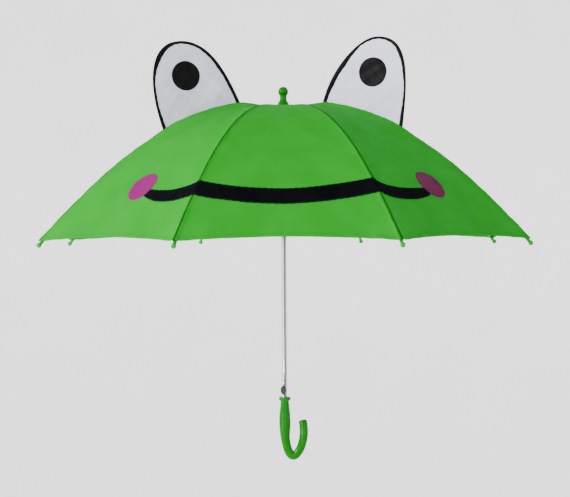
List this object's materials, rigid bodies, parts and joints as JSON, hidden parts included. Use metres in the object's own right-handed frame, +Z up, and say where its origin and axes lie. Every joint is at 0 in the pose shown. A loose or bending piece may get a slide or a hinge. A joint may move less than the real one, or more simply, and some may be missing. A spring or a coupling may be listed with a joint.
{
  "type": "children's umbrella",
  "caption": "Child's domed umbrella with a frog's face, stand-up eyes, folding steel ribs on a straight shaft and a curved crook handle.",
  "frame": {"origin": "on the shaft's axis, level with the top face of the handle's collar", "axes": "+Z up the shaft towards the ferrule, -Y the way the frog looks, +X to the right as seen from in front; the crook hooks towards +X"},
  "size_m": [0.7394, 0.7394, 0.6691],
  "materials": {
    "chrome_tube": "polished chrome plate",
    "rib_steel": "bright zinc-plated steel",
    "spring_steel": "bright spring steel",
    "green_plastic": "glossy moulded green",
    "tip_plastic": "glossy moulded light green",
    "white_plastic": "white moulded nylon",
    "black_plastic": "glossy moulded black",
    "green_cloth": "woven polyester taffeta, light sheen",
    "white_cloth": "woven polyester, printed black pupil",
    "black_cloth": "woven polyester binding tape"
  },
  "bodies": {
    "frame": {"shaft": "chrome_tube", "ferrule": "green_plastic", "crown_notch": "white_plastic", "crown_hinge_wire": "spring_steel", "crown_patch": "green_cloth", "handle": "green_plastic"},
    "rib_1": {"rib_1": "rib_steel", "rib_tip_1": "tip_plastic"},
    "rib_2": {"rib_2": "rib_steel", "rib_tip_2": "tip_plastic"},
    "rib_3": {"rib_3": "rib_steel", "rib_tip_3": "tip_plastic"},
    "rib_4": {"rib_4": "rib_steel", "rib_tip_4": "tip_plastic"},
    "rib_5": {"rib_5": "rib_steel", "rib_tip_5": "tip_plastic"},
    "rib_6": {"rib_6": "rib_steel", "rib_tip_6": "tip_plastic", "closing_strap": "green_cloth"},
    "rib_7": {"rib_7": "rib_steel", "rib_tip_7": "tip_plastic"},
    "rib_8": {"rib_8": "rib_steel", "rib_tip_8": "tip_plastic"},
    "stretcher_1": {"stretcher_1": "rib_steel"},
    "stretcher_2": {"stretcher_2": "rib_steel"},
    "stretcher_3": {"stretcher_3": "rib_steel"},
    "stretcher_4": {"stretcher_4": "rib_steel"},
    "stretcher_5": {"stretcher_5": "rib_steel"},
    "stretcher_6": {"stretcher_6": "rib_steel"},
    "stretcher_7": {"stretcher_7": "rib_steel"},
    "stretcher_8": {"stretcher_8": "rib_steel"},
    "runner": {"runner": "white_plastic", "runner_hinge_wire": "spring_steel"},
    "gore_1_left": {"gore_1_left": "green_cloth"},
    "gore_1_right": {"gore_1_right": "green_cloth"},
    "gore_2_left": {"gore_2_left": "green_cloth"},
    "gore_2_right": {"gore_2_right": "green_cloth"},
    "gore_3_left": {"gore_3_left": "green_cloth"},
    "gore_3_right": {"gore_3_right": "green_cloth"},
    "gore_4_left": {"gore_4_left": "green_cloth"},
    "gore_4_right": {"gore_4_right": "green_cloth"},
    "gore_5_left": {"gore_5_left": "green_cloth"},
    "gore_5_right": {"gore_5_right": "green_cloth"},
    "gore_6_left": {"gore_6_left": "green_cloth"},
    "gore_6_right": {"gore_6_right": "green_cloth"},
    "gore_7_left": {"gore_7_left": "green_cloth"},
    "gore_7_right": {"gore_7_right": "green_cloth"},
    "gore_8_left": {"gore_8_left": "green_cloth"},
    "gore_8_right": {"gore_8_right": "green_cloth"},
    "left_eye": {"eye_panel_left": "white_cloth", "eye_binding_left": "black_cloth", "eye_wire_left": "spring_steel"},
    "right_eye": {"eye_panel_right": "white_cloth", "eye_binding_right": "black_cloth", "eye_wire_right": "spring_steel"},
    "top_catch": {"top_catch": "spring_steel"},
    "bottom_catch": {"bottom_catch": "spring_steel", "push_button": "black_plastic"}
  },
  "joints": [
    {"name": "rib_1_fold", "type": "hinge", "parent": "frame", "child": "rib_1", "pos_m": [-0.00364, -0.00878, 0.458], "axis": [0.9239, -0.3827, 0], "range_deg": [0, 60]},
    {"name": "rib_2_fold", "type": "hinge", "parent": "frame", "child": "rib_2", "pos_m": [0.00364, -0.00878, 0.458], "axis": [0.9239, 0.3827, 0], "range_deg": [-0.1, 60.1]},
    {"name": "rib_3_fold", "type": "hinge", "parent": "frame", "child": "rib_3", "pos_m": [0.00878, -0.00364, 0.458], "axis": [0.3827, 0.9239, 0], "range_deg": [-0.1, 60.1]},
    {"name": "rib_4_fold", "type": "hinge", "parent": "frame", "child": "rib_4", "pos_m": [0.00878, 0.00364, 0.458], "axis": [-0.3827, 0.9239, 0], "range_deg": [-0.1, 60.1]},
    {"name": "rib_5_fold", "type": "hinge", "parent": "frame", "child": "rib_5", "pos_m": [0.00364, 0.00878, 0.458], "axis": [-0.9239, 0.3827, 0], "range_deg": [-0.1, 60.1]},
    {"name": "rib_6_fold", "type": "hinge", "parent": "frame", "child": "rib_6", "pos_m": [-0.00364, 0.00878, 0.458], "axis": [-0.9239, -0.3827, 0], "range_deg": [-0.1, 60.1]},
    {"name": "rib_7_fold", "type": "hinge", "parent": "frame", "child": "rib_7", "pos_m": [-0.00878, 0.00364, 0.458], "axis": [-0.3827, -0.9239, 0], "range_deg": [-0.1, 60.1]},
    {"name": "rib_8_fold", "type": "hinge", "parent": "frame", "child": "rib_8", "pos_m": [-0.00878, -0.00364, 0.458], "axis": [0.3827, -0.9239, 0], "range_deg": [-0.1, 60.1]},
    {"name": "stretcher_1_swing", "type": "hinge", "parent": "rib_1", "child": "stretcher_1", "pos_m": [-0.08171, -0.19728, 0.40938], "axis": [0.9239, -0.3827, 0], "range_deg": [-120.2, 0.2]},
    {"name": "stretcher_2_swing", "type": "hinge", "parent": "rib_2", "child": "stretcher_2", "pos_m": [0.08171, -0.19728, 0.40938], "axis": [0.9239, 0.3827, 0], "range_deg": [-120.2, 0.2]},
    {"name": "stretcher_3_swing", "type": "hinge", "parent": "rib_3", "child": "stretcher_3", "pos_m": [0.19728, -0.08171, 0.40938], "axis": [0.3827, 0.9239, 0], "range_deg": [-120.2, 0.2]},
    {"name": "stretcher_4_swing", "type": "hinge", "parent": "rib_4", "child": "stretcher_4", "pos_m": [0.19728, 0.08171, 0.40938], "axis": [-0.3827, 0.9239, 0], "range_deg": [-120.2, 0.2]},
    {"name": "stretcher_5_swing", "type": "hinge", "parent": "rib_5", "child": "stretcher_5", "pos_m": [0.08171, 0.19728, 0.40938], "axis": [-0.9239, 0.3827, 0], "range_deg": [-120.2, 0.2]},
    {"name": "stretcher_6_swing", "type": "hinge", "parent": "rib_6", "child": "stretcher_6", "pos_m": [-0.08171, 0.19728, 0.40938], "axis": [-0.9239, -0.3827, 0], "range_deg": [-120.2, 0.2]},
    {"name": "stretcher_7_swing", "type": "hinge", "parent": "rib_7", "child": "stretcher_7", "pos_m": [-0.19728, 0.08171, 0.40938], "axis": [-0.3827, -0.9239, 0], "range_deg": [-120.2, 0.2]},
    {"name": "stretcher_8_swing", "type": "hinge", "parent": "rib_8", "child": "stretcher_8", "pos_m": [-0.19728, -0.08171, 0.40938], "axis": [0.3827, -0.9239, 0], "range_deg": [-120.2, 0.2]},
    {"name": "runner_travel", "type": "hinge", "parent": "stretcher_1", "child": "runner", "pos_m": [-0.00364, -0.00878, 0.36077], "axis": [0.9239, -0.3827, 0], "range_deg": [-0.1, 60.1]},
    {"name": "gore_1_left_fold", "type": "hinge", "parent": "rib_1", "child": "gore_1_left", "pos_m": [0, -0.01028, 0.458], "axis": [-0.5342, 0.7892, -0.303], "range_deg": [-0.1, 26.26], "deforming": ["gore_1_left"]},
    {"name": "gore_1_right_fold", "type": "hinge", "parent": "rib_2", "child": "gore_1_right", "pos_m": [0, -0.01028, 0.458], "axis": [-0.5342, -0.7892, 0.303], "range_deg": [-0.1, 26.26], "deforming": ["gore_1_right"]},
    {"name": "gore_2_left_fold", "type": "hinge", "parent": "rib_2", "child": "gore_2_left", "pos_m": [0.00727, -0.00727, 0.458], "axis": [-0.9358, 0.1804, -0.303], "range_deg": [-0.1, 26.26], "deforming": ["gore_2_left"]},
    {"name": "gore_2_right_fold", "type": "hinge", "parent": "rib_3", "child": "gore_2_right", "pos_m": [0.00727, -0.00727, 0.458], "axis": [0.1804, -0.9358, 0.303], "range_deg": [-0.1, 26.26], "deforming": ["gore_2_right"]},
    {"name": "gore_3_left_fold", "type": "hinge", "parent": "rib_3", "child": "gore_3_left", "pos_m": [0.01028, 0, 0.458], "axis": [-0.7892, -0.5342, -0.303], "range_deg": [-0.1, 26.26], "deforming": ["gore_3_left"]},
    {"name": "gore_3_right_fold", "type": "hinge", "parent": "rib_4", "child": "gore_3_right", "pos_m": [0.01028, 0, 0.458], "axis": [0.7892, -0.5342, 0.303], "range_deg": [-0.1, 26.26], "deforming": ["gore_3_right"]},
    {"name": "gore_4_left_fold", "type": "hinge", "parent": "rib_4", "child": "gore_4_left", "pos_m": [0.00727, 0.00727, 0.458], "axis": [-0.1804, -0.9358, -0.303], "range_deg": [-0.1, 26.26], "deforming": ["gore_4_left"]},
    {"name": "gore_4_right_fold", "type": "hinge", "parent": "rib_5", "child": "gore_4_right", "pos_m": [0.00727, 0.00727, 0.458], "axis": [0.9358, 0.1804, 0.303], "range_deg": [-0.1, 26.26], "deforming": ["gore_4_right"]},
    {"name": "gore_5_left_fold", "type": "hinge", "parent": "rib_5", "child": "gore_5_left", "pos_m": [0, 0.01028, 0.458], "axis": [0.5342, -0.7892, -0.303], "range_deg": [-0.1, 26.26], "deforming": ["gore_5_left"]},
    {"name": "gore_5_right_fold", "type": "hinge", "parent": "rib_6", "child": "gore_5_right", "pos_m": [0, 0.01028, 0.458], "axis": [0.5342, 0.7892, 0.303], "range_deg": [-0.1, 26.26], "deforming": ["gore_5_right"]},
    {"name": "gore_6_left_fold", "type": "hinge", "parent": "rib_6", "child": "gore_6_left", "pos_m": [-0.00727, 0.00727, 0.458], "axis": [0.9358, -0.1804, -0.303], "range_deg": [-0.1, 26.26], "deforming": ["gore_6_left"]},
    {"name": "gore_6_right_fold", "type": "hinge", "parent": "rib_7", "child": "gore_6_right", "pos_m": [-0.00727, 0.00727, 0.458], "axis": [-0.1804, 0.9358, 0.303], "range_deg": [-0.1, 26.26], "deforming": ["gore_6_right"]},
    {"name": "gore_7_left_fold", "type": "hinge", "parent": "rib_7", "child": "gore_7_left", "pos_m": [-0.01028, 0, 0.458], "axis": [0.7892, 0.5342, -0.303], "range_deg": [-0.1, 26.26], "deforming": ["gore_7_left"]},
    {"name": "gore_7_right_fold", "type": "hinge", "parent": "rib_8", "child": "gore_7_right", "pos_m": [-0.01028, 0, 0.458], "axis": [-0.7892, 0.5342, 0.303], "range_deg": [-0.1, 26.26], "deforming": ["gore_7_right"]},
    {"name": "gore_8_left_fold", "type": "hinge", "parent": "rib_8", "child": "gore_8_left", "pos_m": [-0.00727, -0.00727, 0.458], "axis": [0.1804, 0.9358, -0.303], "range_deg": [-0.1, 26.26], "deforming": ["gore_8_left"]},
    {"name": "gore_8_right_fold", "type": "hinge", "parent": "rib_1", "child": "gore_8_right", "pos_m": [-0.00727, -0.00727, 0.458], "axis": [-0.9358, -0.1804, 0.303], "range_deg": [-0.1, 26.26], "deforming": ["gore_8_right"]},
    {"name": "left_eye_bend", "type": "hinge", "parent": "rib_8", "child": "left_eye", "pos_m": [-0.0698, -0.02891, 0.46386], "axis": [-0.8753, -0.3626, -0.32], "range_deg": [-60, 60], "stiffness_Nm_per_rad": 0.05},
    {"name": "right_eye_bend", "type": "hinge", "parent": "rib_3", "child": "right_eye", "pos_m": [0.06274, -0.02599, 0.4646], "axis": [0.8819, -0.3653, -0.298], "range_deg": [-60, 60], "stiffness_Nm_per_rad": 0.05},
    {"name": "top_catch_press", "type": "slide", "parent": "frame", "child": "top_catch", "axis": [0.3827, 0.9239, 0], "range_m": [0, 0.0024], "stiffness_N_per_m": 1000, "springref_m": -0.0005},
    {"name": "push_button_press", "type": "slide", "parent": "frame", "child": "bottom_catch", "axis": [0.3827, 0.9239, 0], "range_m": [0, 0.0024], "stiffness_N_per_m": 1000, "springref_m": -0.0005}
  ],
  "couplings": [
    {"joint": "rib_2_fold", "follows": "rib_1_fold", "ratio": 1},
    {"joint": "rib_3_fold", "follows": "rib_1_fold", "ratio": 1},
    {"joint": "rib_4_fold", "follows": "rib_1_fold", "ratio": 1},
    {"joint": "rib_5_fold", "follows": "rib_1_fold", "ratio": 1},
    {"joint": "rib_6_fold", "follows": "rib_1_fold", "ratio": 1},
    {"joint": "rib_7_fold", "follows": "rib_1_fold", "ratio": 1},
    {"joint": "rib_8_fold", "follows": "rib_1_fold", "ratio": 1},
    {"joint": "stretcher_1_swing", "follows": "rib_1_fold", "ratio": -2},
    {"joint": "stretcher_2_swing", "follows": "rib_1_fold", "ratio": -2},
    {"joint": "stretcher_3_swing", "follows": "rib_1_fold", "ratio": -2},
    {"joint": "stretcher_4_swing", "follows": "rib_1_fold", "ratio": -2},
    {"joint": "stretcher_5_swing", "follows": "rib_1_fold", "ratio": -2},
    {"joint": "stretcher_6_swing", "follows": "rib_1_fold", "ratio": -2},
    {"joint": "stretcher_7_swing", "follows": "rib_1_fold", "ratio": -2},
    {"joint": "stretcher_8_swing", "follows": "rib_1_fold", "ratio": -2},
    {"joint": "runner_travel", "follows": "rib_1_fold", "ratio": 1},
    {"joint": "gore_1_left_fold", "follows": "rib_1_fold", "ratio": 0.43605},
    {"joint": "gore_1_right_fold", "follows": "rib_1_fold", "ratio": 0.43605},
    {"joint": "gore_2_left_fold", "follows": "rib_1_fold", "ratio": 0.43605},
    {"joint": "gore_2_right_fold", "follows": "rib_1_fold", "ratio": 0.43605},
    {"joint": "gore_3_left_fold", "follows": "rib_1_fold", "ratio": 0.43605},
    {"joint": "gore_3_right_fold", "follows": "rib_1_fold", "ratio": 0.43605},
    {"joint": "gore_4_left_fold", "follows": "rib_1_fold", "ratio": 0.43605},
    {"joint": "gore_4_right_fold", "follows": "rib_1_fold", "ratio": 0.43605},
    {"joint": "gore_5_left_fold", "follows": "rib_1_fold", "ratio": 0.43605},
    {"joint": "gore_5_right_fold", "follows": "rib_1_fold", "ratio": 0.43605},
    {"joint": "gore_6_left_fold", "follows": "rib_1_fold", "ratio": 0.43605},
    {"joint": "gore_6_right_fold", "follows": "rib_1_fold", "ratio": 0.43605},
    {"joint": "gore_7_left_fold", "follows": "rib_1_fold", "ratio": 0.43605},
    {"joint": "gore_7_right_fold", "follows": "rib_1_fold", "ratio": 0.43605},
    {"joint": "gore_8_left_fold", "follows": "rib_1_fold", "ratio": 0.43605},
    {"joint": "gore_8_right_fold", "follows": "rib_1_fold", "ratio": 0.43605}
  ]
}
